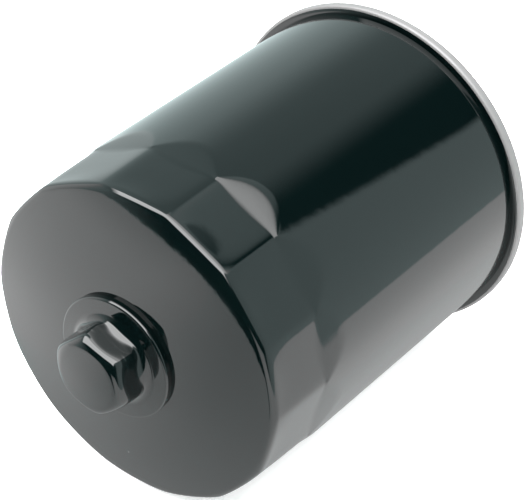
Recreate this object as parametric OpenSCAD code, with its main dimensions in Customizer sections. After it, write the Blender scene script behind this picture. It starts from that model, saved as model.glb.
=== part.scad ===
// Spin-on oil filter: a drawn steel can with a fluted end and a welded wrench
// nut, closed by a threaded tapping plate that a seamed lid holds in place.
// Inside are a pleated element, its bypass valve, an anti-drainback valve and
// the spring that holds the element against the plate.
//
// Heights run from the outermost edge of the seam (0) towards the domed end.
// The finished filter lies along Y: the dome faces -Y, the thread opens at +Y,
// and the origin is on the axis at the mouth of the thread.

/* [Canister] */
// Outer diameter of the can
body_d = 76; // [64:0.5:94]
// Length from the seam's edge to the pole of the dome
body_h = 93.4; // [76:0.2:114]
// Thickness of the drawn steel wall
can_wall = 0.5; // [0.4:0.05:0.65]
// Radius of the shallow dome
dome_radius = 151; // [120:1:220]
// Outside radius of the shoulder between wall and dome
shoulder_r = 3; // [2:0.25:4]

/* [Flutes] */
// Number of flats pressed into the domed end for a cap wrench
flute_count = 14; // [12:1:18]
// Length of each flat along the can, from the shoulder to its run-out
flute_length = 13.7; // [9:0.1:20]
// Length of the curved run-out of each flat
flute_runout = 5.7; // [4:0.1:9]
// Angle of one ridge between flats, from +X towards +Z
flute_phase = 49; // [0:0.5:60]

/* [Wrench nut] */
// Hexagon size across flats
nut_af = 17; // [14:0.5:22]
// Height of the straight hexagon
nut_h = 6.5; // [4:0.1:8]
// Height of the crowned front above the corners
nut_crown = 0.9; // [0.4:0.1:1.4]
// Diameter of the weld flange
nut_flange_d = 29.2; // [26:0.2:36]
// Thickness of the weld flange at its rim
nut_flange_t = 1.6; // [1:0.1:2.5]
// Height of the cone between flange and hexagon
nut_cone_h = 1.7; // [1:0.1:2.5]
// Angle of one corner of the hexagon, from +X towards +Z
nut_phase = 40.1; // [0:0.1:60]

/* [Lid and seam] */
// Thickness of the tin-plated lid
lid_t = 0.6; // [0.45:0.05:0.7]
// Length of the rolled seam along the can
seam_h = 2.95; // [2.6:0.05:3.6]
// Gap between the folded layers, which sealing compound fills
seam_film = 0.1; // [0.05:0.01:0.15]
// Depth of the gasket channel below the seam's edge
channel_depth = 3.4; // [2.8:0.1:4.4]
// Width of the gasket channel
channel_w = 6.4; // [5.6:0.1:7.7]
// Depth of the lid's inner land below the seam's edge
land_depth = 0.8; // [0.4:0.1:1.4]
// Width of the lid's inner land
land_w = 5.8; // [4:0.1:6.6]

/* [Gasket] */
// Clearance between the gasket and each wall of its channel
gasket_side_gap = 0.7; // [0.2:0.1:1.2]
// Height that the gasket stands proud of the seam
gasket_proud = 2.3; // [1.4:0.1:3]
// Radius of the gasket's edges
gasket_edge_r = 0.8; // [0.3:0.1:1.2]

/* [Tapping plate] */
// Major diameter of the mounting thread
thread_d = 19.05; // [16:0.05:22.9]
// Thickness of the pressed steel plate
plate_t = 3; // [2:0.1:3.6]
// Wall of the threaded neck
neck_wall = 3; // [2:0.1:4]
// Length of the neck below the plate
neck_len = 7.6; // [6:0.1:10]
// Number of oil inlet holes
inlet_count = 8; // [6:1:10]
// Diameter of each inlet hole
inlet_d = 5.5; // [4:0.1:5.6]
// Gap between the plate's edge and the can wall
plate_edge_gap = 1.5; // [0.6:0.1:2.5]

/* [Anti-drainback valve] */
// Thickness of the rubber skirt
valve_t = 1.1; // [0.8:0.1:1.4]
// Wall of the hub that grips the neck
valve_hub_wall = 1.5; // [1.2:0.1:2]
// Gap between the hub and the neck, before assembly stretches the hub
valve_grip_gap = 0.15; // [0.1:0.05:0.3]
// Gap between the skirt's lip and the plate
valve_lip_gap = 0.1; // [0.05:0.05:0.2]
// Width of the lip's sealing face
valve_lip_w = 1; // [0.6:0.1:1.4]

/* [Element] */
// Number of paper pleats
pleat_count = 45; // [36:1:50]
// Thickness of the filter paper
paper_t = 0.6; // [0.4:0.05:0.7]
// Gap between an end cap and the can wall
oil_gap = 3.5; // [2.5:0.1:5]
// Thickness of the steel of the end caps and the centre tube
shell_t = 0.5; // [0.4:0.05:0.8]
// Height of the end caps' outer lips
cap_lip_h = 4; // [3:0.1:6]
// Depth of adhesive in each end cap
potting_t = 2; // [1:0.1:3]
// Gap between the centre tube and the paper
tube_gap = 0.6; // [0.3:0.1:1]
// Inner radius of the centre tube beyond the neck's outer radius
tube_step = 1.9; // [1.7:0.1:3]
// Diameter of each hole in the centre tube
tube_hole_d = 3.2; // [2:0.1:4]
// Spacing of the hole rows along the centre tube
tube_row_pitch = 6.4; // [5:0.1:10]
// Number of holes in each row of the centre tube
tube_row_holes = 8; // [6:2:10]
// Space left inside the dome for the load spring
spring_space = 14.9; // [12:0.1:20]
// Length that the seam clip reaches over the pleat
clip_reach = 5; // [3:0.5:8]

/* [Bypass valve] */
// Diameter of the hole that the bypass valve closes
bypass_d = 14; // [10:0.5:15]
// Height of the seat pressed round that hole
seat_h = 0.5; // [0.3:0.1:0.8]
// Overlap of the rubber disc beyond the hole
seal_overlap = 1.8; // [1.5:0.1:2]
// Thickness of the rubber disc
seal_t = 1.2; // [0.8:0.1:1.6]
// Thickness of the poppet's steel disc
poppet_t = 0.8; // [0.6:0.1:1.2]
// Diameter of the poppet's guide stem
stem_d = 4; // [3:0.1:4.6]
// Height of the stem's riveted head
rivet_head_h = 0.8; // [0.5:0.1:1.2]
// Running clearance of the stem in its guide, on the radius
stem_gap = 0.06; // [0.04:0.01:0.1]
// Full travel of the bypass valve
bypass_travel = 4; // [2:0.5:5]
// Wire diameter of the bypass spring
bypass_wire_d = 1; // [0.8:0.1:1.2]

/* [Load spring] */
// Mean diameter of the load spring
load_spring_d = 32; // [32:0.1:38.4]
// Wire diameter of the load spring
load_wire_d = 1.8; // [1.4:0.1:2]
// Number of turns of the load spring
load_turns = 3.5; // [3:0.5:4]

/* [Hidden] */
$fn = 96;
cut = 1; // run-out of cutting shapes past a face
joint = 0.01; // overlap of two shapes that make one solid
seat_gap = 0.05; // gap between a spring end and what it bears on

body_r = body_d / 2;
can_in_r = body_r - can_wall;
dome_base = body_h - dome_radius; // height of the dome's centre
shoulder_axis = body_r - shoulder_r;
shoulder_z = dome_base + sqrt(pow(dome_radius - shoulder_r, 2) - pow(shoulder_axis, 2));
dome_edge_r = shoulder_axis * dome_radius / (dome_radius - shoulder_r);
flat_r = body_r * cos(180 / flute_count);
flute_depth = body_r - flat_r;
flute_cutter_r = (pow(flute_runout, 2) + pow(flute_depth, 2)) / (2 * flute_depth);
flute_start = shoulder_z + shoulder_r / 2 - flute_length;

// seam, from the can wall outwards: film, lid hook, film, can hook, film, lid
lid_hook_r = body_r + seam_film;
can_hook_r = lid_hook_r + lid_t + seam_film;
curl_in_r = can_hook_r + can_wall + seam_film;
seam_r = curl_in_r + lid_t;
chuck_out_r = can_in_r - seam_film;
chuck_in_r = chuck_out_r - lid_t;
channel_in_r = chuck_in_r - channel_w;
lid_hook_top = seam_h / 2;
can_hook_end = seam_h - lid_t - 2 * seam_film;

// tapping plate: the middle stands up under the lid's land, the rim lies
// under the floor of the gasket channel
mouth_z = land_depth + lid_t;
plate_rim_z = channel_depth + lid_t;
plate_r = can_in_r - plate_edge_gap;
plate_boss_r = channel_in_r - lid_t - seam_film;
plate_dish_r = plate_boss_r - plate_t * 1.1;
plate_back = mouth_z + plate_t;
thread_r = thread_d / 2;
neck_r = thread_r + neck_wall;
neck_end = plate_back + neck_len;
lid_hole_r = channel_in_r - lid_t - land_w;
inlet_pcr = (neck_r + lid_hole_r) / 2;

hub_past_neck = 0.9; // length of the valve's hub beyond the neck
hub_lift = 2.1; // height of the hub above the plate
lip_inset = 2; // distance of the valve's lip from the plate's dished edge
hub_in_r = neck_r + valve_grip_gap;
hub_out_r = hub_in_r + valve_hub_wall;
hub_end = neck_end + hub_past_neck;
hub_start = plate_back + hub_lift;
lip_z = plate_back + valve_lip_gap;
lip_out_r = plate_dish_r - lip_inset;

cap_hole_step = 1.5; // width of the outlet cap's hole beyond the thread
hub_gap = 0.1; // gap between the valve's hub and the outlet cap
paper_gap = 0.4; // gap between the paper and the caps' lips
cap_hole_r = thread_r + cap_hole_step;
cap_z = hub_end + hub_gap;
cap_r = can_in_r - oil_gap;
tube_in_r = neck_r + tube_step;
tube_out_r = tube_in_r + shell_t;
dome_cap_z = body_h - can_wall - spring_space; // outer face of the dome end cap
tube_start = cap_z + shell_t;
tube_end = dome_cap_z - shell_t;
tube_len = tube_end - tube_start;
paper_start = tube_start + potting_t;
paper_end = tube_end - potting_t;
paper_out_r = cap_r - shell_t - paper_gap;
paper_in_r = tube_out_r + tube_gap;
pleat_angle = 360 / pleat_count;
pleat_tip_w = 0.7; // distance of each layer's middle from the middle of its fold

bypass_turns = 6;
bypass_play = 1; // length left in the spring when the valve is fully open
cage_step = 2.7; // gap between the cage and the centre tube
spring_shift = 0.6; // the spring stands this much nearer the disc's edge
stem_tail = 3; // length of the stem below the cage when the valve is shut
window_count = 3;
window_w = 9;
window_foot = 2.5; // metal left below each window of the cage
window_head = 1.5; // metal left above it
bypass_r = bypass_d / 2;
seat_z = tube_end - seat_h;
seal_r = bypass_r + seal_overlap;
poppet_z = seat_z - seal_t; // face that the rubber disc lies on
cage_in_r = tube_in_r - cage_step;
cage_room = seat_h + seal_t + poppet_t + bypass_travel + bypass_play;
cage_floor = tube_end - cage_room - (bypass_turns + 1) * bypass_wire_d - shell_t;
stem_r = stem_d / 2;
bypass_spring_r = (stem_r + seal_r) / 2 + spring_shift;

load_spring_r = load_spring_d / 2;
load_outer_r = load_spring_r + load_wire_d / 2;
load_top = dome_base + sqrt(pow(dome_radius - can_wall, 2) - pow(load_outer_r, 2));

// ---- shared shapes ----

// Lays a shape that stands on the seam along Y, thread mouth at the origin.
module lay() {
    rotate([90, 0, 0]) translate([0, 0, -mouth_z]) children();
}

// A flat ring, given its two radii and its two heights.
module ring(inner_r, outer_r, low, high) {
    translate([0, 0, low]) difference() {
        cylinder(r = outer_r, h = high - low);
        translate([0, 0, -cut]) cylinder(r = inner_r, h = high - low + 2 * cut);
    }
}

// A rectangle with round corners, from one corner to the other.
module round_box(low, high, corner) {
    difference() {
        translate(low) square([high[0] - low[0], high[1] - low[1]]);
        for (sx = [0, 1], sy = [0, 1])
            translate([sx ? high[0] : low[0], sy ? high[1] : low[1]])
                corner_waste(sx ? -1 : 1, sy ? -1 : 1, corner);
    }
}

// What rounding takes off one corner that opens towards (sx, sy).
module corner_waste(sx, sy, corner) {
    difference() {
        translate([min(0, sx * corner), min(0, sy * corner)]) square(corner);
        translate([sx * corner, sy * corner]) circle(r = corner);
    }
}

// A round wire bent into a coil whose first and last half turns lie flat.
module coil(mean_r, wire_d, turns, low, high, steps, sides) {
    count = round(turns * steps);
    rise = high - low - wire_d;
    function share(i) = min(1, max(0, (i / steps - 0.5) / (turns - 1)));
    function height(i) = low + wire_d / 2 + rise * share(i);
    points = [
        for (i = [0 : count], j = [0 : sides - 1])
            let (a = 360 * i / steps, b = 360 * j / sides, r = mean_r + wire_d / 2 * cos(b))
                [r * cos(a), r * sin(a), height(i) + wire_d / 2 * sin(b)]
    ];
    faces = concat(
        [for (i = [0 : count - 1], j = [0 : sides - 1])
            let (k = (j + 1) % sides)
                [i * sides + j, i * sides + k, (i + 1) * sides + k, (i + 1) * sides + j]],
        [[for (j = [sides - 1 : -1 : 0]) j]],
        [[for (j = [0 : sides - 1]) count * sides + j]]
    );
    polyhedron(points = points, faces = faces, convexity = 8);
}

// ---- can ----

// Half outline of the can, drawn in by the given distance.
module can_outline(inset) {
    r = dome_radius - inset;
    square([body_r - inset, shoulder_z]);
    translate([shoulder_axis, shoulder_z]) circle(r = shoulder_r - inset);
    intersection() {
        translate([0, shoulder_z - cut]) square([dome_edge_r * r / dome_radius, dome_radius]);
        translate([0, dome_base]) circle(r = r);
    }
}

// The solid can with its flats, drawn in by the given distance.
module can_shape(inset) {
    difference() {
        rotate_extrude() can_outline(inset);
        for (i = [0 : flute_count - 1])
            rotate([0, 0, flute_phase + (i + 0.5) * 360 / flute_count])
                flute_cutter(flat_r - inset);
    }
}

// Cuts one flat at a distance from the axis, with a curved run-out.
module flute_cutter(distance) {
    width = 2 * body_r * tan(180 / flute_count) + cut;
    translate([distance, -width / 2, flute_start])
        cube([2 * flute_depth + cut, width, body_h - flute_start]);
    translate([distance + flute_cutter_r, width / 2, flute_start])
        rotate([90, 0, 0]) cylinder(r = flute_cutter_r, h = width);
}

module canister() {
    over = lid_t + seam_film;
    color("#15181a") lay() {
        difference() {
            can_shape(0);
            difference() {
                can_shape(can_wall);
                cylinder(r = body_r, h = over);
            }
            translate([0, 0, -cut]) cylinder(r = body_r + cut, h = over + cut);
        }
        rotate_extrude() {
            translate([body_r - can_wall, over])
                square([can_hook_r - body_r + 2 * can_wall, can_wall]);
            translate([can_hook_r, over]) square([can_wall, can_hook_end - over]);
        }
    }
}

module wrench_nut() {
    cone_step = 0.4; // step from the flange's rim and from the corners to the cone
    fine = 360; // sides of the large spheres
    nut_r = nut_af / 2 / cos(30);
    flange_r = nut_flange_d / 2;
    rim_base = dome_base + sqrt(pow(dome_radius, 2) - pow(flange_r, 2));
    rim_top = rim_base + nut_flange_t;
    hex_base = rim_top + nut_cone_h;
    front = hex_base + nut_h + nut_crown;
    crown_r = (pow(nut_r, 2) + pow(nut_crown, 2)) / (2 * nut_crown);
    color("#101314") lay() difference() {
        union() {
            translate([0, 0, rim_base - cut]) cylinder(r = flange_r, h = nut_flange_t + cut);
            translate([0, 0, rim_top - joint])
                cylinder(r1 = flange_r - cone_step, r2 = nut_r + cone_step, h = nut_cone_h);
            intersection() {
                rotate([0, 0, nut_phase]) translate([0, 0, rim_base])
                    cylinder(r = nut_r, h = front - rim_base, $fn = 6);
                translate([0, 0, front - crown_r]) sphere(r = crown_r, $fn = fine);
            }
        }
        translate([0, 0, dome_base]) sphere(r = dome_radius, $fn = fine);
    }
}

// ---- base ----

module seaming_lid() {
    curl_r = 0.9; // rounding outside the curl
    fold_r = 0.3; // rounding inside it
    wall_overlap = 1; // length in which the curl and the channel's wall overlap
    color("#c4c6c6") lay() rotate_extrude() {
        difference() {
            round_box([chuck_in_r, 0], [seam_r, seam_h], curl_r);
            round_box([chuck_out_r, lid_t], [curl_in_r, seam_h - lid_t], fold_r);
            translate([chuck_out_r, lid_t + fold_r])
                square([lid_hook_r - chuck_out_r, seam_h]);
            translate([chuck_in_r - cut, seam_h - curl_r]) square([cut + lid_t, cut]);
        }
        translate([lid_hook_r, lid_hook_top]) square([lid_t, seam_h - lid_t / 2 - lid_hook_top]);
        translate([chuck_in_r, seam_h - wall_overlap])
            square([lid_t, plate_rim_z - seam_h + wall_overlap]);
        translate([channel_in_r - lid_t, channel_depth])
            square([chuck_out_r - channel_in_r + lid_t, lid_t]);
        translate([channel_in_r - lid_t, land_depth]) square([lid_t, plate_rim_z - land_depth]);
        translate([lid_hole_r, land_depth]) square([channel_in_r - lid_hole_r, lid_t]);
    }
}

module seam_compound() {
    low = lid_t + seam_film + can_wall;
    color("#b59a5b") lay()
        ring(lid_hook_r, can_hook_r - seam_film / 2, low, lid_hook_top);
}

module tapping_plate() {
    color("#8d9093") lay() difference() {
        union() {
            translate([0, 0, mouth_z]) cylinder(r = plate_boss_r, h = plate_t);
            ring(plate_dish_r, plate_r, plate_rim_z, plate_rim_z + plate_t);
            translate([0, 0, mouth_z]) cylinder(r = neck_r, h = neck_end - mouth_z);
        }
        translate([0, 0, mouth_z - cut]) cylinder(r = thread_r, h = neck_end - mouth_z + 2 * cut);
        for (i = [0 : inlet_count - 1])
            rotate([0, 0, (i + 0.5) * 360 / inlet_count])
                translate([inlet_pcr, 0, mouth_z - cut])
                    cylinder(r = inlet_d / 2, h = plate_t + 2 * cut);
    }
}

module gasket() {
    color("#222325") lay() rotate_extrude()
        round_box(
            [channel_in_r + gasket_side_gap, -gasket_proud],
            [chuck_in_r - gasket_side_gap, channel_depth],
            gasket_edge_r
        );
}

module anti_drainback_valve() {
    root_z = hub_start + 2.4; // top of the skirt where it leaves the hub
    root_t = 1.4 * valve_t; // thickness of the skirt there
    color("#a4452c") lay() rotate_extrude() {
        translate([hub_in_r, hub_start]) square([valve_hub_wall, hub_end - hub_start]);
        polygon([
            [hub_out_r - valve_hub_wall / 2, root_z],
            [hub_out_r - valve_hub_wall / 2, root_z - root_t],
            [lip_out_r - valve_lip_w, lip_z],
            [lip_out_r, lip_z],
            [lip_out_r, lip_z + valve_t]
        ]);
    }
}

// ---- element ----

module outlet_endcap() {
    color("#b3b5b4") lay() {
        ring(cap_hole_r, cap_r, cap_z, cap_z + shell_t);
        ring(cap_r - shell_t, cap_r, cap_z, cap_z + cap_lip_h);
    }
}

module outlet_adhesive() {
    color("#6b5a46") lay() ring(tube_out_r, cap_r - shell_t, tube_start, paper_start);
}

module dome_adhesive() {
    color("#6b5a46") lay() ring(tube_out_r, cap_r - shell_t, paper_end, tube_end);
}

module dome_endcap() {
    seat_w = 0.8; // width of the valve's seat
    bead_w = 0.9; // width of the bead that keeps the load spring in place
    bead_h = 0.8;
    bead_gap = 0.3; // gap between that bead and the spring
    bead_r = load_spring_r - load_wire_d / 2 - bead_gap;
    color("#b3b5b4") lay() {
        ring(bypass_r, cap_r, tube_end, dome_cap_z);
        ring(cap_r - shell_t, cap_r, dome_cap_z - cap_lip_h, dome_cap_z);
        ring(bypass_r, bypass_r + seat_w, seat_z, tube_end + shell_t / 2);
        ring(bead_r - bead_w, bead_r, dome_cap_z - shell_t / 2, dome_cap_z + bead_h);
    }
}

// One loop of the pleated paper: each fold is a flat tip, given its radius and
// its half width at the outer folds, and the same at the inner folds.
function pleat_loop(tip_r, tip_w, valley_r, valley_w) = [
    for (i = [0 : pleat_count - 1], k = [0 : 3])
        let (
            outer = k < 2,
            r = outer ? tip_r : valley_r,
            half = outer ? tip_w / tip_r : valley_w / valley_r,
            middle = (i + (outer ? 0 : 0.5)) * pleat_angle,
            a = middle + (k % 2 == 0 ? -1 : 1) * half * 180 / PI
        )
            [r * cos(a), r * sin(a)]
];

module filter_paper() {
    quarter = paper_in_r * pleat_angle / 4 * PI / 180;
    half_t = paper_t / 2;
    color("#d9c58e") lay() translate([0, 0, paper_start])
        linear_extrude(height = paper_end - paper_start) difference() {
            polygon(pleat_loop(
                paper_out_r, pleat_tip_w + half_t, paper_in_r + paper_t, quarter - half_t));
            polygon(pleat_loop(
                paper_out_r - paper_t, pleat_tip_w - half_t, paper_in_r, quarter + half_t));
        }
}

module pleat_seam_clip() {
    gap = 0.08; // gap between the strip and the paper
    strip_t = 0.25; // thickness of the strip
    end_gap = 1; // length of pleat left bare at each end
    flare = 0.3; // spread of the strip's free edges
    near = pleat_tip_w + paper_t / 2 + gap;
    spread = (paper_in_r * pleat_angle / 4 * PI / 180 - pleat_tip_w + flare)
        * clip_reach / (paper_out_r - paper_in_r);
    tip = paper_out_r + gap;
    back = paper_out_r - clip_reach;
    color("#c9cac8") lay() translate([0, 0, paper_start + end_gap])
        linear_extrude(height = paper_end - paper_start - 2 * end_gap)
            polygon([
                [back, near + spread], [tip, near], [tip, -near], [back, -near - spread],
                [back, -near - spread - strip_t], [tip + strip_t, -near - strip_t],
                [tip + strip_t, near + strip_t], [back, near + spread + strip_t]
            ]);
}

module centre_tube() {
    rows = floor((tube_len - 2 * potting_t - tube_hole_d) / tube_row_pitch);
    first = tube_start + (tube_len - (rows - 1) * tube_row_pitch) / 2;
    color("#a9abab") lay() difference() {
        ring(tube_in_r, tube_out_r, tube_start, tube_end);
        for (row = [0 : rows - 1], i = [0 : tube_row_holes - 1])
            rotate([0, 0, (i + (row % 2) / 2) * 360 / tube_row_holes])
                translate([tube_in_r - cut, 0, first + row * tube_row_pitch])
                    rotate([0, 90, 0]) cylinder(r = tube_hole_d / 2, h = shell_t + 2 * cut);
    }
}

// ---- bypass valve ----

module bypass_cage() {
    cage_out_r = cage_in_r + shell_t;
    window_low = cage_floor + shell_t + window_foot;
    color("#9d9f9f") lay() difference() {
        union() {
            ring(cage_in_r, cage_out_r, cage_floor, tube_end);
            ring(stem_r + stem_gap, cage_out_r, cage_floor, cage_floor + shell_t);
            ring(cage_in_r, tube_in_r, tube_end - shell_t, tube_end);
        }
        for (i = [0 : window_count - 1])
            rotate([0, 0, i * 360 / window_count])
                translate([0, -window_w / 2, window_low])
                    cube([cage_out_r + cut, window_w, tube_end - window_head - window_low]);
    }
}

module bypass_poppet() {
    disc_step = 0.2; // width of the disc beyond the rubber
    color("#b9bbbb") lay() ring(stem_r, seal_r + disc_step, poppet_z - poppet_t, poppet_z);
}

module bypass_seal_disc() {
    color("#2a2b2d") lay() ring(stem_r, seal_r, poppet_z, seat_z);
}

module bypass_stem() {
    head_r = 1.6 * stem_r;
    stem_end = cage_floor - stem_tail;
    color("#c3c5c6") lay() {
        translate([0, 0, stem_end]) cylinder(r = stem_r, h = seat_z - stem_end);
        translate([0, 0, seat_z]) cylinder(r = head_r, h = rivet_head_h);
    }
}

module bypass_spring() {
    steps = 18; // steps in each turn of the wire
    sides = 8; // sides of the wire
    color("#c8cacb") lay()
        coil(bypass_spring_r, bypass_wire_d, bypass_turns,
            cage_floor + shell_t + seat_gap, poppet_z - poppet_t - seat_gap, steps, sides);
}

module element_load_spring() {
    steps = 28; // steps in each turn of the wire
    sides = 10; // sides of the wire
    color("#c8cacb") lay()
        coil(load_spring_r, load_wire_d, load_turns,
            dome_cap_z + seat_gap, load_top - seat_gap, steps, sides);
}

canister();
wrench_nut();
seaming_lid();
seam_compound();
tapping_plate();
gasket();
anti_drainback_valve();
outlet_endcap();
outlet_adhesive();
filter_paper();
pleat_seam_clip();
centre_tube();
dome_adhesive();
dome_endcap();
bypass_cage();
bypass_poppet();
bypass_seal_disc();
bypass_stem();
bypass_spring();
element_load_spring();
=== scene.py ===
import math

import bpy
import numpy as np
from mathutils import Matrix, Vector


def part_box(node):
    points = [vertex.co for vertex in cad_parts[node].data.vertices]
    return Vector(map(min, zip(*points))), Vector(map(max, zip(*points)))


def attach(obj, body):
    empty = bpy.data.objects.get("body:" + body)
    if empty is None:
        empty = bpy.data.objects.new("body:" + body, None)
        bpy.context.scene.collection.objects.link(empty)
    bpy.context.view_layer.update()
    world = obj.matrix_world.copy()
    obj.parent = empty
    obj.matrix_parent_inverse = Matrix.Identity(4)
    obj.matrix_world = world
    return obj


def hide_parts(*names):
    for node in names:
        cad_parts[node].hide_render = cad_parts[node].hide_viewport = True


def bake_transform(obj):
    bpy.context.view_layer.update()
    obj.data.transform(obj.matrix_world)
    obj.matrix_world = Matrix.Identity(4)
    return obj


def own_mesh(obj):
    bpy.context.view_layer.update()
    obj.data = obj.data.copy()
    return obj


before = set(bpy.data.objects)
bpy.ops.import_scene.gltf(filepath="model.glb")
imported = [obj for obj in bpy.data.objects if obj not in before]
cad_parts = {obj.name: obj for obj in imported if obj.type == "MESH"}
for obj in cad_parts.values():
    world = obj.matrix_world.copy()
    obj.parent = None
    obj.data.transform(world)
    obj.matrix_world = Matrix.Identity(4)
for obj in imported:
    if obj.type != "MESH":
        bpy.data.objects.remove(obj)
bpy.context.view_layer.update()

# ---- camera and table ----
# The filter lies on a pale table with its welded nut towards the camera. The
# camera looks down at it from the front right, with a long lens.

MM = 0.001

# Heights on the filter run from the seam's outer edge towards the dome, so a
# height h lies at y = rim_y - h.
rim_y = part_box("seaming_lid")[1].y / MM
floor_z = min(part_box("seaming_lid")[0].z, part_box("canister")[0].z)

camera_azimuth = math.radians(37.498)
camera_elevation = math.radians(34.892)
camera_place = np.array([227.864, rim_y - 341.274, 260.269]) * MM

camera_data = bpy.data.cameras.new("camera")
camera_data.lens = 141.99
camera_data.sensor_width = 36.0
camera_data.clip_end = 20.0
camera = bpy.data.objects.new("camera", camera_data)
camera.location = camera_place
camera.rotation_euler = (math.pi / 2 - camera_elevation, 0.0, camera_azimuth)
bpy.context.scene.collection.objects.link(camera)
bpy.context.scene.camera = camera
bpy.context.scene.view_settings.view_transform = "Standard"


def new_material(name, colour, metallic=0.0, roughness=0.4):
    """A principled material; gives it with its node tree and its shader."""
    material = bpy.data.materials.new(name)
    material.use_nodes = True
    tree = material.node_tree
    shader = tree.nodes["Principled BSDF"]
    shader.inputs["Base Color"].default_value = (*colour, 1.0)
    shader.inputs["Metallic"].default_value = metallic
    shader.inputs["Roughness"].default_value = roughness
    material.diffuse_color = (*colour, 1.0)
    return material, tree, shader


floor_size = 4000.0
floor_points = np.array([[-1, -1], [1, -1], [1, 1], [-1, 1]]) * floor_size * MM / 2
floor_mesh = bpy.data.meshes.new("table")
floor_mesh.from_pydata([(x, y, floor_z) for x, y in floor_points], [], [(0, 1, 2, 3)])
floor = bpy.data.objects.new("table", floor_mesh)
bpy.context.scene.collection.objects.link(floor)
floor_material, _, shader = new_material("pale_table", (0.86, 0.86, 0.86), roughness=0.9)
shader.inputs["Emission Color"].default_value = (1.0, 1.0, 1.0, 1.0)
shader.inputs["Emission Strength"].default_value = 0.55
floor_mesh.materials.append(floor_material)
floor.visible_glossy = False

# ---- studio light ----
# A white table top with the filter's own soft shadow on it, a large softbox
# overhead, pale walls at both sides and a dark room behind the camera. All of it
# is drawn by direction, as seen from the filter.


def add_node(tree, kind, inputs=None, **settings):
    """A node of one kind, with its settings and its inputs set or linked."""
    node = tree.nodes.new(kind)
    for name, value in settings.items():
        setattr(node, name, value)
    for name, value in (inputs or {}).items():
        if isinstance(value, bpy.types.NodeSocket):
            tree.links.new(value, node.inputs[name])
        else:
            node.inputs[name].default_value = value
    return node


def add_math(tree, operation, *values):
    """One sum on up to three numbers or sockets; gives the socket of its result."""
    inputs = dict(enumerate(values))
    return add_node(tree, "ShaderNodeMath", inputs, operation=operation).outputs[0]


def between(tree, value, low, high, from_value=0.0, to_value=1.0):
    """Goes smoothly from one value to another while the input goes from low to high."""
    inputs = {
        "Value": value, "From Min": low, "From Max": high,
        "To Min": from_value, "To Max": to_value,
    }
    node = add_node(tree, "ShaderNodeMapRange", inputs, interpolation_type="SMOOTHSTEP")
    return node.outputs["Result"]


world = bpy.data.worlds.new("studio")
bpy.context.scene.world = world
world.use_nodes = True
sky = world.node_tree
direction = add_node(sky, "ShaderNodeTexCoord").outputs["Generated"]
towards = add_node(sky, "ShaderNodeSeparateXYZ", {"Vector": direction})
to_right, to_base, up = (towards.outputs[axis] for axis in ("X", "Y", "Z"))


def product(tree, *values):
    """All the values multiplied together."""
    result = values[0]
    for value in values[1:]:
        result = add_math(tree, "MULTIPLY", result, value)
    return result


def rest(tree, value):
    """One less the value: the other share of a mask."""
    return add_math(tree, "SUBTRACT", 1.0, value)


# where a ray meets the table top, in heights of the filter above it
least_slope = 0.02  # flatter rays count as if they fell this much
drop = add_math(sky, "MAXIMUM", product(sky, up, -1.0), least_slope)
table_x = add_math(sky, "DIVIDE", to_right, drop)
table_y = add_math(sky, "DIVIDE", to_base, drop)
shadow_x = add_math(sky, "ADD", table_x, between(sky, table_y, -0.9, 0.6, 0.0, 0.75))
shadow = product(
    sky, between(sky, table_x, -0.6, 0.8, 1.0, 0.0), between(sky, shadow_x, -1.3, -0.3),
    between(sky, table_y, -0.9, 0.6, 0.42, 0.76))
table_far = add_math(sky, "ADD", between(sky, table_y, -0.3, 0.6, 0.0, -0.16),
                     between(sky, table_x, -2.4, 0.0, 2.55, 2.25))
table_glow = product(
    sky, rest(sky, shadow), table_far, between(sky, table_y, -3.6, -2.0, 0.78, 1.0))

# the table's front edge, with the camera's stand before it: how far a ray passes
# below that edge, for each unit that it travels towards the camera
front_edge = -0.272
stand_place = -0.241  # here the stand is stand_height high
stand_height = 0.16
stand_rate = 7.8  # one unit further right it is e to this power times as high
stand_top = 0.6
to_front = add_math(sky, "MAXIMUM", product(sky, to_base, -1.0), least_slope)
front_x = add_math(sky, "DIVIDE", to_right, to_front)
front_z = add_math(sky, "DIVIDE", up, to_front)
stand = add_math(sky, "EXPONENT", product(
    sky, add_math(sky, "SUBTRACT", front_x, stand_place), stand_rate))
stand = add_math(sky, "MINIMUM", product(sky, stand, stand_height), stand_top)
stand = product(sky, stand, between(sky, front_x, -0.06, 0.05, 1.0, 0.0))
front_gap = add_math(sky, "SUBTRACT", front_edge, add_math(sky, "ADD", stand, front_z))
left_back = product(
    sky, between(sky, table_x, -1.15, -0.92, 1.0, 0.0), between(sky, table_y, -0.3, 0.3))
table_mask = product(
    sky, between(sky, front_gap, -0.008, 0.008), between(sky, table_x, 2.05, 2.25, 1.0, 0.0),
    rest(sky, left_back), between(sky, up, -0.03, 0.0, 1.0, 0.0))

# the walls, by the angle about the filter's axis: 0 to the right, 90 overhead
roll = product(sky, add_math(sky, "ARCTAN2", up, to_right), 180 / math.pi)
wall_top = add_math(sky, "ADD", product(sky, to_base, -250.0), 214.0)
wall_top = add_math(sky, "MINIMUM", add_math(sky, "MAXIMUM", wall_top, 31.0), 55.0)
right_wall = product(
    sky, between(sky, add_math(sky, "SUBTRACT", roll, wall_top), -3.5, 3.5, 1.18, 0.0),
    between(sky, roll, -100.0, -80.0), between(sky, to_base, -0.6, -0.2))
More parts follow.
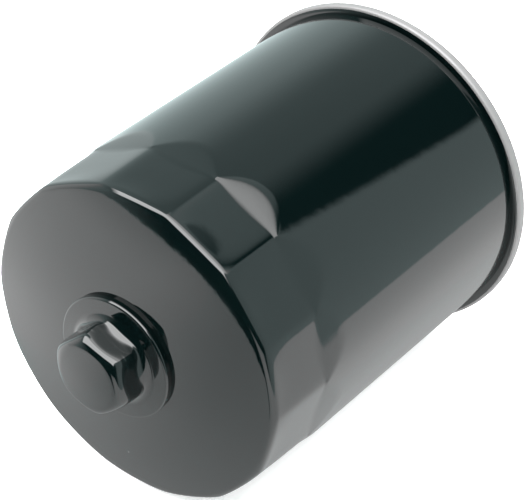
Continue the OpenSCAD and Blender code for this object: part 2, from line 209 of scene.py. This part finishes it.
# haze: it thickens up the right wall and again past the middle, is a little
# thicker away from the base's end, and ends low on the left and in front
full_roll = add_math(sky, "MODULO", add_math(sky, "ADD", roll, 360.0), 360.0)
haze = add_math(sky, "ADD", between(sky, full_roll, 62.0, 88.0, 0.0, 0.66),
                between(sky, full_roll, 115.0, 150.0, 0.0, 0.54))
haze = add_math(sky, "ADD", haze, product(
    sky, between(sky, to_base, 0.35, 0.6, 0.4, 0.0), between(sky, up, 0.4, 0.6)))
near_wall = between(sky, to_base, 0.615, 0.65, 1.0, 0.0)
haze = add_math(sky, "ADD", haze, product(
    sky, near_wall, between(sky, full_roll, 60.0, 72.0, 0.0, 0.75),
    between(sky, full_roll, 88.0, 100.0, 1.0, 0.0)))
haze = add_math(sky, "ADD", haze, product(
    sky, near_wall, between(sky, full_roll, 150.0, 165.0, 0.0, 0.25)))
haze = product(sky, haze, between(sky, full_roll, 230.0, 260.0, 1.0, 0.0),
               between(sky, to_base, -0.2, 0.1))
front_left = product(sky, between(sky, to_right, -0.95, -0.4, 2.4, 0.0),
                     between(sky, to_base, -0.1, 0.1, 1.0, 0.0))

# the softbox: brightest in its front part, dimmer towards the filter's base
box_glow = add_math(sky, "ADD", between(sky, to_base, 0.41, 0.57, 5.5, 0.0),
                    between(sky, to_base, 0.1, 0.22, 5.0, 0.0))
box_left = add_math(sky, "SUBTRACT", to_right, between(sky, to_base, 0.1, 0.3, 0.0, 0.45))
softbox = product(
    sky, box_glow, between(sky, to_base, -0.71, -0.66), between(sky, up, 0.35, 0.5),
    between(sky, to_right, 0.55, 0.66, 1.0, 0.0), between(sky, box_left, -0.64, -0.56))

glow = add_math(sky, "MAXIMUM", add_math(sky, "MAXIMUM", right_wall, haze),
                add_math(sky, "MAXIMUM", softbox, front_left))
glow = product(sky, glow, rest(sky, table_mask))
glow = add_math(sky, "ADD", glow, product(sky, table_glow, table_mask))
backdrop = sky.nodes["Background"]
sky.links.new(glow, backdrop.inputs["Strength"])
# the dim walls are a little green, the table and the softbox are white
red_share = add_math(sky, "MAXIMUM", between(sky, glow, 1.2, 1.9, 0.84, 1.0),
                     product(sky, table_mask, 0.98))
dim_tint = add_node(sky, "ShaderNodeCombineColor", {"Red": red_share, "Green": 1.0, "Blue": 1.0})
sky.links.new(dim_tint.outputs["Color"], backdrop.inputs["Color"])

lamp_data = bpy.data.lights.new("fill_softbox", "AREA")
lamp_data.shape = "DISK"
lamp_data.size = 3.0
lamp_data.energy = 15.0
lamp = bpy.data.objects.new("fill_softbox", lamp_data)
lamp.location = (-0.15, 0.1, 1.6)
lamp.visible_glossy = False
bpy.context.scene.collection.objects.link(lamp)

# ---- canister ----
# A deep-drawn steel can with a shallow domed end. Its last stretch is pressed
# into flats for a cap wrench, and it is coated with baked black gloss enamel.

body_r = 38.0
wall = 0.5
dome_radius = 151.0
pole_height = 93.4
shoulder_r = 3.0
flute_count = 14
flute_phase = math.radians(49.0)
flat_end = 74.8  # height where the middle of a flat starts to rise to the wall
ridge_end = 73.0  # the same beside a ridge
runout = 9.4  # length of that rise in the middle of a flat
ridge_runout = 0.6  # its length beside a ridge
blend_share = 1.3  # width of the soft blend into the shoulder, in depths of the flat
ridge_soft = math.radians(1.8)  # half width of a ridge's rounding
draft = math.tan(math.radians(1.5))  # the flats lean in towards the dome
slope_foot = 0.25  # share of the rise that eases out of the flat
slope_top = 0.3  # share of the rise that eases into the wall

dome_centre = pole_height - dome_radius
shoulder_axis = body_r - shoulder_r
shoulder_height = dome_centre + math.sqrt(
    (dome_radius - shoulder_r) ** 2 - shoulder_axis ** 2
)
half_flat = math.pi / flute_count
flat_r = body_r * math.cos(half_flat)
swell_r = 37.45  # towards the dome the flats swell and the ridges sink to this
swell_start = 80.0
swell_share = 0.85  # share of a flat's depth that is gone at the dome's edge
dome_edge = 89.0


def skin(name, rings, closed=False):
    """A solid's surface through rings of points: ring k, point i, then x, y, z.
    Each ring closes on itself, a ring drawn in to one point becomes a pole, and
    closed joins the last ring to the first. Faces are turned to point outwards."""
    rings = np.asarray(rings, float) * MM
    count, size = rings.shape[:2]
    is_pole = np.ptp(rings, axis=1).max(axis=1) < 1e-9
    start = np.concatenate([[0], np.cumsum(np.where(is_pole, 1, size))])[:-1]
    step = np.where(is_pole, 0, 1)[:, None]
    index = start[:, None] + step * np.arange(size)[None, :]
    points = np.concatenate([ring[:1] if pole else ring for ring, pole in zip(rings, is_pole)])
    if closed:
        index = np.vstack([index, index[:1]])
    low, high = index[:-1], index[1:]
    quads = np.stack(
        [low, np.roll(low, -1, 1), np.roll(high, -1, 1), high], axis=-1
    ).reshape(-1, 4)
    corner = points[quads]
    volume = (np.cross(corner[:, 0], corner[:, 1]) * corner[:, 2]).sum()
    volume += (np.cross(corner[:, 0], corner[:, 2]) * corner[:, 3]).sum()
    if volume < 0:
        quads = quads[:, ::-1]
    faces = [list(dict.fromkeys(quad)) for quad in quads.tolist()]
    mesh = bpy.data.meshes.new(name)
    mesh.from_pydata(points, [], faces)
    mesh.shade_smooth()
    piece = bpy.data.objects.new(name, mesh)
    bpy.context.scene.collection.objects.link(piece)
    return piece


def finish_piece(piece, material, body, slot, *nodes, sharp=40.0):
    """Gives a piece its finish and its body, and hides the CAD nodes it stands for. The slot argument is
    not used.
    """
    piece.data.materials.append(material)
    piece.data.set_sharp_from_angle(angle=math.radians(sharp))
    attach(piece, body)
    if nodes:
        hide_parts(*nodes)


def turn(profile, angles, radius_of=None):
    """Carries a profile of (radius, height) round the axis. radius_of(radius,
    height, angle) may draw each point in or out."""
    profile = np.asarray(profile, float)
    radius, angle = np.meshgrid(profile[:, 0], angles, indexing="ij")
    height = np.repeat(profile[:, 1:], len(angles), axis=1)
    if radius_of:
        radius = radius_of(radius, height, angle)
    return np.stack([radius * np.cos(angle), rim_y - height, radius * np.sin(angle)], -1)


def around(count):
    """Equally spaced angles round the axis, in radians."""
    return np.arange(count) * 2 * math.pi / count


def arc(centre, radius, start, stop, count):
    """Points on a round stretch of a profile; angles in degrees from outwards
    (0) towards the dome (90)."""
    angle = np.radians(np.linspace(start, stop, count))
    centre = np.asarray(centre, float)
    return centre + radius * np.stack([np.cos(angle), np.sin(angle)], -1)


def pressed(inset):
    """Gives the sum that draws a wall's radius in where the flats are pressed.
    The chord between ridges cuts the shoulder with a soft blend: the smaller
    radius, less a quarter of the blend's width times (1 - gap / width) squared.
    Towards the seam a flat rises to the round wall on a slope eased at its ends.
    Towards the dome it leans in evenly, and swell_share of its way to the one round
    radius swell_r grows with the cube of the height."""
    def pressed_radius(radius, height, angle):
        past_ridge = (angle - flute_phase + half_flat) % (2 * half_flat) - half_flat
        soft = np.sqrt(past_ridge ** 2 + ridge_soft ** 2)
        chord = flat_r / np.cos(half_flat - np.minimum(soft, half_flat))
        depth = body_r - chord
        middle = 1 - (1 - np.abs(past_ridge) / half_flat) ** 2
        length = ridge_runout + (runout - ridge_runout) * middle
        start = ridge_end + (flat_end - ridge_end) * middle
        x = np.clip((start - height) / length, 0, 1)
        foot = np.where(x < slope_foot, x * x / (2 * slope_foot), x - slope_foot / 2)
        top = np.clip(x - (1 - slope_top), 0, 1) ** 2 / (2 * slope_top)
        rise = (foot - top) / (1 - slope_foot / 2 - slope_top / 2)
        swell = np.clip((height - swell_start) / (dome_edge - swell_start), 0, 1) ** 3
        chord += swell_share * swell * (swell_r - chord)
        lean = draft * (height - flat_end)
        cut = chord + depth * rise - inset - lean * (1 - rise)
        width = np.maximum(blend_share * depth * (1 - rise), 1e-4)
        gap = np.clip(1 - np.abs(radius - cut) / width, 0, 1)
        return np.minimum(radius, cut) - width * gap * gap / 4
    return pressed_radius


def can_profile(inset, wall_rows):
    """Half the can's outline from the dome's pole to the seam, drawn in by inset:
    a sphere, a round shoulder and a straight wall with its rows where given."""
    edge = math.degrees(math.asin(shoulder_axis / (dome_radius - shoulder_r)))
    ball = arc((0, dome_centre), dome_radius - inset, 90, 90 - edge, 36)
    ball[0, 0] = 0
    bend = arc((shoulder_axis, shoulder_height), shoulder_r - inset, 90 - edge, 0, 26)[1:]
    straight = np.stack([np.full(len(wall_rows), body_r - inset), wall_rows], -1)
    return np.vstack([ball, bend, straight])


# the wall's rows stand close together where the flats run out
outer_rows = np.concatenate([
    np.linspace(shoulder_height - 0.5, flat_end + 1, 12),
    np.linspace(flat_end + 0.7, flat_end - runout - 1.5, 44),
    np.linspace(flat_end - runout - 4, 6, 14),
])
inner_rows = np.concatenate([
    np.linspace(shoulder_height - 0.5, flat_end + 1, 5),
    np.linspace(flat_end, flat_end - runout - 1, 12),
    np.linspace(60, 3, 6),
])
# the can's rim, turned outwards and folded into the lid's curl
hook = [
    [38.0, 3.0], [39.25, 3.0], [39.3, 2.96], [38.02, 2.96], [38.0, 2.5], [38.0, 1.2],
    [38.8, 1.2], [38.8, 2.15], [39.3, 2.15], [39.3, 0.7], [37.5, 0.7],
]

# columns stand closer together near the ridges
flat_columns = 24
flat_share = np.arange(flat_columns) / (flat_columns / 2) - 1
flat_angle = half_flat * (0.7 * np.sin(math.pi / 2 * flat_share) + 0.3 * flat_share)
ridge_angle = flute_phase + half_flat + 2 * half_flat * np.arange(flute_count)
can_angles = (ridge_angle[:, None] + flat_angle).ravel()
can_rings = np.vstack([
    turn(can_profile(0, outer_rows), can_angles, pressed(0)),
    turn(hook, can_angles),
    turn(can_profile(wall, inner_rows)[::-1], can_angles, pressed(wall)),
])
can_shell = skin("can_shell", can_rings)

enamel_colour = (0.0008, 0.0024, 0.0024)
dust_colour = (0.16, 0.17, 0.17)
enamel, tree, shader = new_material("black_enamel", enamel_colour, roughness=0.035)
shader.inputs["IOR"].default_value = 1.5
place = add_node(tree, "ShaderNodeTexCoord").outputs["Object"]
peel = add_node(tree, "ShaderNodeTexNoise", {"Vector": place, "Scale": 420.0, "Detail": 2.0})
peel_bump = add_node(tree, "ShaderNodeBump", {
    "Height": peel.outputs["Fac"], "Strength": 0.03, "Distance": 0.0002})
tree.links.new(peel_bump.outputs["Normal"], shader.inputs["Normal"])
specks = add_node(tree, "ShaderNodeTexVoronoi", {"Vector": place, "Scale": 110.0})
speck = between(tree, specks.outputs["Distance"], 0.012, 0.03, 1.0, 0.0)
rare = between(tree, add_node(tree, "ShaderNodeSeparateColor", {
    "Color": specks.outputs["Color"]}).outputs["Red"], 0.93, 0.94)
speck_mix = add_node(tree, "ShaderNodeMix", {
    "Factor": add_math(tree, "MULTIPLY", speck, rare)}, data_type="RGBA")
speck_mix.inputs["A"].default_value = (*enamel_colour, 1.0)
speck_mix.inputs["B"].default_value = (*dust_colour, 1.0)
tree.links.new(speck_mix.outputs["Result"], shader.inputs["Base Color"])
finish_piece(can_shell, enamel, "can", "can_paint", "canister")

# ---- wrench nut ----
# A forged hexagon on a round weld flange, projection-welded to the middle of
# the dome. Its front is crowned and turned off at the corners, and enamel
# rounds every edge and fills the root.

nut_half = 8.6  # from the axis to a flat
nut_corner = math.radians(40.1)
nut_front = 103.35
crown_r = 53.0
crown_edge = 6.6  # where the crown bends down towards the flats
corner_turn = 4.6  # radius of that bend
edge_blend = 1.5  # width of the soft edge between front and flats
hex_power = 22  # the higher, the sharper the corners
past_corner = 13.0  # a radius outside the corners, where the hexagon alone counts
side_gap = 0.2  # the flats' rows keep this far from the bend and from the root
nut_columns = 288
root_r = 2.8  # fillet between hexagon and flange
round_below = 0.5  # up to this far above the flange the root is round
flange_face = 94.55
flange_r = 14.1
flange_edge = 0.6
flange_foot = 13.9  # where the rounded rim meets the dome


def dome_height(radius):
    """Height of the dome's outside at a distance from the axis."""
    return dome_centre + math.sqrt(dome_radius ** 2 - radius ** 2)


nut_angles = around(nut_columns)
hex_flats = [
    np.abs(np.cos(nut_angles - nut_corner - math.radians(30 + 60 * k))) ** hex_power
    for k in range(3)
]
hexagon = sum(hex_flats) ** (-1 / hex_power)  # 1 at a flat, growing to a soft corner

# front: round rings on the crown, then rings at one height each, whose radius is
# the softly blended smaller one of the turned front and the hexagon
crown = np.linspace(0, crown_edge, 10)
crown_h = nut_front - crown * crown / (2 * crown_r)
bend_start = math.asin(crown_edge / crown_r)
bend = np.linspace(bend_start, math.radians(80), 26)[1:]
turned_r = crown_edge + corner_turn * (np.sin(bend) - math.sin(bend_start))
turned_h = crown_h[-1] - corner_turn * (math.cos(bend_start) - np.cos(bend))
root_top = flange_face + root_r
side_h = np.linspace(turned_h[-1] - side_gap, root_top + side_gap, 6)
front_r = np.concatenate([turned_r, np.full(len(side_h), past_corner)])[:, None]
hex_r = nut_half * hexagon
near = np.clip(1 - np.abs(hex_r - front_r) / edge_blend, 0, 1)
front_radius = np.minimum(hex_r, front_r) - edge_blend * near ** 2 / 4

# root and flange: the hexagon fades into round rings down the fillet
foot = np.vstack([
    arc((nut_half + root_r, root_top), root_r, 180, 262, 14),
    arc((flange_r - flange_edge, flange_face - flange_edge - 0.1), flange_edge, 84, -40, 13),
    [[flange_foot + 0.1, dome_height(flange_foot) + 0.15], [flange_foot, dome_height(flange_foot)]],
    [[flange_r / 2, dome_height(flange_r / 2) + 0.01], [0, pole_height + 0.01]],
])
share = np.clip((foot[:, 1:] - flange_face - round_below) / (root_r - 0.6), 0, 1)
share = share * share * (3 - 2 * share)
nut_radius = np.vstack([
    np.repeat(crown[:, None], nut_columns, axis=1), front_radius,
    foot[:, :1] * (1 + (hexagon - 1) * share),
])
nut_height = np.concatenate([crown_h, turned_h, side_h, foot[:, 1]])[:, None]
nut_rings = np.stack([
    nut_radius * np.cos(nut_angles), np.repeat(rim_y - nut_height, nut_columns, axis=1),
    nut_radius * np.sin(nut_angles)], -1)
hex_nut = skin("hex_nut", nut_rings)
finish_piece(hex_nut, enamel, "can", "nut_paint", "wrench_nut", sharp=60)

# ---- seamed lid ----
# Tin-plated sheet, pressed with a channel for the gasket. Its rim is rolled
# together with the can's rim, and the outside of that roll is left bare.

lid_t = 0.6
seam_r = 40.0
seam_h = 2.95
chuck_r = 36.8
channel_r = 30.4
channel_depth = 3.4
land_depth = 0.8
hole_r = 24.0
lid_outline = np.vstack([
    arc((hole_r + 0.3, land_depth + 0.3), 0.3, 180, 270, 5),
    arc((channel_r - 0.7, land_depth + 0.7), 0.7, 270, 360, 7),
    arc((channel_r + 0.5, channel_depth - 0.5), 0.5, 180, 90, 6),
    arc((chuck_r - 0.5, channel_depth - 0.5), 0.5, 90, 0, 6),
    arc((chuck_r + 1.0, 1.0), 1.0, 180, 270, 10),
    arc((seam_r - 1.35, 1.35), 1.35, 270, 360, 14),
    arc((seam_r - 0.75, seam_h - 0.75), 0.75, 0, 60, 8),
    arc((39.1, seam_h - 0.3), 0.3, 90, 120, 3),
    [[38.15, seam_h - 0.2], [38.1, 1.5], [38.7, 1.5], [38.7, 2.3], [39.3, 2.3]],
    [[39.4, 2.2], [39.4, 0.62], [37.45, 0.62]],
    arc((chuck_r + lid_t - 1.1, channel_depth + lid_t - 1.1), 1.1, 0, 90, 7),
    arc((channel_r - lid_t + 1.1, channel_depth + lid_t - 1.1), 1.1, 90, 180, 7),
    arc((channel_r - lid_t - 0.2, land_depth + lid_t + 0.2), 0.2, 360, 270, 4),
    arc((hole_r + 0.3, land_depth + 0.3), 0.3, 90, 180, 5)[:-1],
])
lid = skin("lid", turn(lid_outline, around(256)), closed=True)

tinplate, tree, shader = new_material("tinplate", (0.16, 0.158, 0.158), 0.4, 0.5)
place = add_node(tree, "ShaderNodeTexCoord").outputs["Object"]
lines = add_node(tree, "ShaderNodeTexNoise", {
    "Vector": add_node(tree, "ShaderNodeMapping", {
        "Vector": place, "Scale": (60.0, 5200.0, 60.0)}).outputs["Vector"],
    "Scale": 1.0, "Detail": 3.0})
clouds = add_node(tree, "ShaderNodeTexNoise", {"Vector": place, "Scale": 90.0, "Detail": 4.0})
rough = add_math(tree, "ADD", between(tree, clouds.outputs["Fac"], 0.3, 0.7, 0.46, 0.54),
                 between(tree, lines.outputs["Fac"], 0.4, 0.6, 0.0, 0.04))
tree.links.new(rough, shader.inputs["Roughness"])
line_bump = add_node(tree, "ShaderNodeBump", {
    "Height": lines.outputs["Fac"], "Strength": 0.12, "Distance": 0.0001})
tree.links.new(line_bump.outputs["Normal"], shader.inputs["Normal"])
finish_piece(lid, tinplate, "can", "tinplate", "seaming_lid")

# ---- seam compound ----
# Rubbery sealing compound, sprayed into the lid's curl before seaming, then
# squeezed into a thin ring between the folded layers.


def add_grain(tree, shader, scale, strength, distance, stretch=(1.0, 1.0, 1.0), rough=None):
    """A fine uneven surface, its pattern packed closer along the axes by the given
    shares. rough gives the two roughnesses between which the same pattern goes."""
    place = add_node(tree, "ShaderNodeTexCoord").outputs["Object"]
    place = add_node(tree, "ShaderNodeMapping", {"Vector": place, "Scale": stretch})
    grain = add_node(tree, "ShaderNodeTexNoise", {
        "Vector": place.outputs["Vector"], "Scale": scale, "Detail": 3.0})
    bump = add_node(tree, "ShaderNodeBump", {
        "Height": grain.outputs["Fac"], "Strength": strength, "Distance": distance})
    tree.links.new(bump.outputs["Normal"], shader.inputs["Normal"])
    if rough:
        level = between(tree, grain.outputs["Fac"], 0.3, 0.7, *rough)
        tree.links.new(level, shader.inputs["Roughness"])


def coat(material, *nodes):
    """Gives CAD nodes, whose shape is right as it is, their finish."""
    for node in nodes:
        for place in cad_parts[node].material_slots:
            place.material = material


compound, tree, shader = new_material("sealing_compound", (0.45, 0.33, 0.12), roughness=0.55)
add_grain(tree, shader, 900.0, 0.3, 0.0001)
coat(compound, "seam_compound")

# ---- tapping plate ----
# Thick steel plate, pressed to a dish with a drawn neck. The oil inlets are
# pierced, and the neck is tapped, which leaves a ridge down its bore.

plate_front = 1.4
neck_end = 12.0
bore_r = 9.525
crest_r = 8.73
thread_pitch = 25.4 / 16
thread_inset = 0.8  # the ridge starts and ends this far inside the neck
thread_run_in = 0.5  # turns in which the ridge grows to its full height
thread_steps_per_turn = 64
ridge_foot = bore_r + 0.08  # its foot lies a little way in the bore's wall
crest_round = 0.06
plate_steel, tree, shader = new_material("plate_steel", (0.36, 0.36, 0.355), 1.0, 0.34)
add_grain(tree, shader, 240.0, 0.25, 0.0001, (1.0, 3.0, 1.0), rough=(0.26, 0.42))
coat(plate_steel, "tapping_plate")


def with_ends(rings):
    """A strand's rings with the middle of its first and last ring added as poles."""
    ends = [rings[k].mean(axis=0, keepdims=True).repeat(rings.shape[1], 0) for k in (0, -1)]
    return np.concatenate([ends[:1], rings, ends[1:]])


thread_turns = (neck_end - plate_front - 2 * thread_inset) / thread_pitch
thread_steps = np.linspace(0, thread_turns, round(thread_turns * thread_steps_per_turn) + 1)
fade = np.clip(np.minimum(thread_steps, thread_turns - thread_steps) / thread_run_in, 0.02, 1)
thread_angle = thread_steps * 2 * math.pi
thread_height = plate_front + thread_inset + thread_steps * thread_pitch
# the ridge's section: two points at its foot, then four round its crest
ridge_r = np.array([
    ridge_foot, ridge_foot, crest_r + crest_round, crest_r, crest_r, crest_r + crest_round])
ridge_shift = np.array([0.69, -0.69, -0.24, -0.17, 0.17, 0.24])
ridge_radius = ridge_foot - (ridge_foot - ridge_r) * fade[:, None]
ridge_height = thread_height[:, None] + ridge_shift * (0.3 + 0.7 * fade[:, None])
thread_rings = np.stack([
    ridge_radius * np.cos(thread_angle)[:, None], rim_y - ridge_height,
    ridge_radius * np.sin(thread_angle)[:, None]], -1)
thread = skin("thread_ridge", with_ends(thread_rings))
finish_piece(thread, plate_steel, "can", "plate_steel")

# ---- gasket ----
# A ring of black nitrile rubber, moulded with a softly crowned face and pushed
# into the lid's channel.

gasket_in = 31.1
gasket_out = 36.1
gasket_face = -2.3
gasket_foot = 3.4
gasket_round = 0.8
crown_half = 0.9
crown_drop = 0.12  # the face falls this far from its middle to its edges
gasket_mid = (gasket_in + gasket_out) / 2
gasket_outline = np.vstack([
    arc((gasket_in + gasket_round, gasket_face + gasket_round + crown_drop), gasket_round, 180, 265, 9),
    [[gasket_mid - crown_half, gasket_face + crown_drop / 4], [gasket_mid, gasket_face]],
    [[gasket_mid + crown_half, gasket_face + crown_drop / 4]],
    arc((gasket_out - gasket_round, gasket_face + gasket_round + crown_drop), gasket_round, 275, 360, 9),
    arc((gasket_out - 0.5, gasket_foot - 0.5), 0.5, 0, 90, 6),
    arc((gasket_in + 0.5, gasket_foot - 0.5), 0.5, 90, 180, 6),
])
seal_ring = skin("base_gasket", turn(gasket_outline, around(256)), closed=True)
nitrile, tree, shader = new_material("nitrile_rubber", (0.013, 0.013, 0.0135), roughness=0.5)
add_grain(tree, shader, 1400.0, 0.2, 0.00005, rough=(0.42, 0.6))
finish_piece(seal_ring, nitrile, "can", "gasket_rubber", "gasket")
coat(nitrile, "bypass_seal_disc")

# ---- anti-drainback valve ----
# One moulding of red silicone rubber: a hub that grips the plate's neck and a
# thin curved skirt whose lip rests over the oil inlets.

hub_in, hub_out = 12.65, 14.15
hub_low, hub_high = 6.5, 12.9
lip_in, lip_out, lip_low = 23.4, 24.4, 4.5
lip_t = 1.1
root_low, root_high = 7.1, 8.75  # the skirt's two faces where it leaves the hub
skirt = np.linspace(0, 1, 16)
skirt_r = hub_out + 0.35 + (lip_in - hub_out - 0.55) * skirt
skirt_sag = 1.1 * np.sin(math.pi * skirt)
skirt_low = root_low + (lip_low + 0.12 - root_low) * skirt - 0.35 * skirt_sag * (1 - skirt)
skirt_high = root_high + (lip_low + lip_t - root_high) * skirt - 0.45 * skirt_sag * (1 - skirt)
valve_outline = np.vstack([
    arc((hub_in + 0.3, hub_low + 0.3), 0.3, 180, 270, 5),
    arc((hub_out - 0.3, hub_low + 0.3), 0.3, 270, 340, 4),
    np.stack([skirt_r, skirt_low], -1),
    [[lip_in, lip_low], [lip_out - 0.2, lip_low]],
    arc((lip_out - 0.25, lip_low + 0.35), 0.25, 290, 360, 4),
    arc((lip_out - 0.25, lip_low + 0.8), 0.25, 0, 90, 5),
    np.stack([skirt_r, skirt_high], -1)[::-1],
    arc((hub_out + 0.4, 9.3), 0.4, 250, 182, 5),
    arc((hub_out - 0.3, hub_high - 0.3), 0.3, 0, 90, 5),
    arc((hub_in + 0.3, hub_high - 0.3), 0.3, 90, 180, 5),
])
drain_valve = skin("drainback_valve", turn(valve_outline, around(192)), closed=True)
silicone, tree, shader = new_material("silicone_rubber", (0.42, 0.075, 0.03), roughness=0.45)
shader.inputs["Subsurface Weight"].default_value = 0.08
shader.inputs["Subsurface Radius"].default_value = (0.001, 0.0004, 0.0002)
add_grain(tree, shader, 1100.0, 0.15, 0.00005)
drain_valve.data.materials.append(silicone)
drain_valve.data.set_sharp_from_angle(angle=math.radians(50))
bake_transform(drain_valve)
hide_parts("anti_drainback_valve")

# ---- end caps, centre tube, cage and poppet ----
# Thin bright steel strip, pressed, drawn and pierced. The caps hold the ends of
# the paper, a clip joins its first and last pleat, and the cage and the poppet
# belong to the bypass valve.

strip, tree, shader = new_material("bright_strip", (0.50, 0.50, 0.49), 1.0, 0.28)
add_grain(tree, shader, 160.0, 0.2, 0.0001, (1.0, 6.0, 1.0), rough=(0.2, 0.36))
coat(strip, "outlet_endcap", "dome_endcap", "centre_tube", "bypass_cage", "bypass_poppet",
     "pleat_seam_clip")

# ---- potting ----
# Brown plastisol adhesive, poured into each end cap, in which the ends of the
# paper and the centre tube cure fast.

plastisol, tree, shader = new_material("plastisol", (0.22, 0.12, 0.05), roughness=0.4)
add_grain(tree, shader, 320.0, 0.5, 0.0003)
coat(plastisol, "outlet_adhesive", "dome_adhesive")

# ---- filter paper ----
# Resin-cured cellulose paper, folded into 45 pleats round the centre tube. The
# potting in the end caps holds both its ends.

pleat_count = 45
paper_low, paper_high = 15.5, 75.5
paper_t = 0.6
tip_r = 33.1 - paper_t / 2
valley_r = 15.5 + paper_t / 2
tip_bend = 0.7
valley_bend = valley_r * 2 * math.pi / pleat_count / 4
bend_steps = np.radians(np.linspace(-90, 90, 7))


def pleat_line():
    """The middle line of the folded paper, as a closed loop: half a circle at each
    tip and at each valley, and the straight legs between them."""
    tip = np.stack([
        tip_r - tip_bend + tip_bend * np.cos(bend_steps), tip_bend * np.sin(bend_steps)], -1)
    valley = np.stack([
        valley_r + valley_bend - valley_bend * np.cos(bend_steps),
        valley_bend * np.sin(bend_steps)], -1)
    line = []
    for k in range(pleat_count):
        for fold, angle in ((tip, k), (valley, k + 0.5)):
            turned = angle * 2 * math.pi / pleat_count
            x, z = fold[:, 0], fold[:, 1]
            line.append(np.stack([
                x * math.cos(turned) - z * math.sin(turned),
                x * math.sin(turned) + z * math.cos(turned)], -1))
    return np.concatenate(line)


middle_line = pleat_line()
along = np.roll(middle_line, -1, 0) - np.roll(middle_line, 1, 0)
along /= np.linalg.norm(along, axis=1, keepdims=True)
across = np.stack([along[:, 1], -along[:, 0]], -1) * paper_t / 2
paper_rings = []
for side, height in ((1, paper_low), (1, paper_high), (-1, paper_high), (-1, paper_low)):
    loop = middle_line + side * across
    flat = np.full(len(loop), rim_y - height)
    paper_rings.append(np.stack([loop[:, 0], flat, loop[:, 1]], -1))
pleats = skin("pleated_paper", paper_rings, closed=True)
paper, tree, shader = new_material("filter_paper", (0.66, 0.50, 0.26), roughness=0.8)
add_grain(tree, shader, 500.0, 0.4, 0.0001, (1.0, 0.4, 1.0), rough=(0.7, 0.9))
finish_piece(pleats, paper, "element", "filter_paper", "filter_paper", sharp=50)

# ---- springs and stem ----
# Drawn spring wire, coiled with its end turns laid flat, and the turned stem
# that is riveted through the poppet. One spring shuts the bypass valve, the
# other holds the element against the plate.


def coil(name, mean_r, wire_d, turns, low, high):
    """A round wire along a helix: the angle runs with the turns, and the height
    rises evenly between two flat half turns at the ends."""
    steps_per_turn = 56
    sweep = np.linspace(0, turns, round(turns * steps_per_turn) + 1)
    height = low + wire_d / 2 + (high - low - wire_d) * np.clip((sweep - 0.5) / (turns - 1), 0, 1)
    section = around(14)
    radius = mean_r + wire_d / 2 * np.cos(section)[None, :]
    angle = sweep[:, None] * 2 * math.pi
    level = height[:, None] + wire_d / 2 * np.sin(section)[None, :]
    rings = np.stack([radius * np.cos(angle), rim_y - level, radius * np.sin(angle)], -1)
    return skin(name, with_ends(rings))


wire, tree, shader = new_material("spring_wire", (0.42, 0.42, 0.43), 1.0, 0.3)
add_grain(tree, shader, 700.0, 0.2, 0.00005, rough=(0.24, 0.4))
coat(wire, "bypass_stem")

valve_spring = coil("valve_spring", 6.0, 1.0, 6, 63.05, 74.95)
finish_piece(valve_spring, wire, "element", "spring_steel", "bypass_spring")
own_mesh(valve_spring)

load_spring = coil("load_spring", 16.0, 1.8, 3.5, 78.05, 91.9)
finish_piece(load_spring, wire, "can", "spring_steel", "element_load_spring")
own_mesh(load_spring)
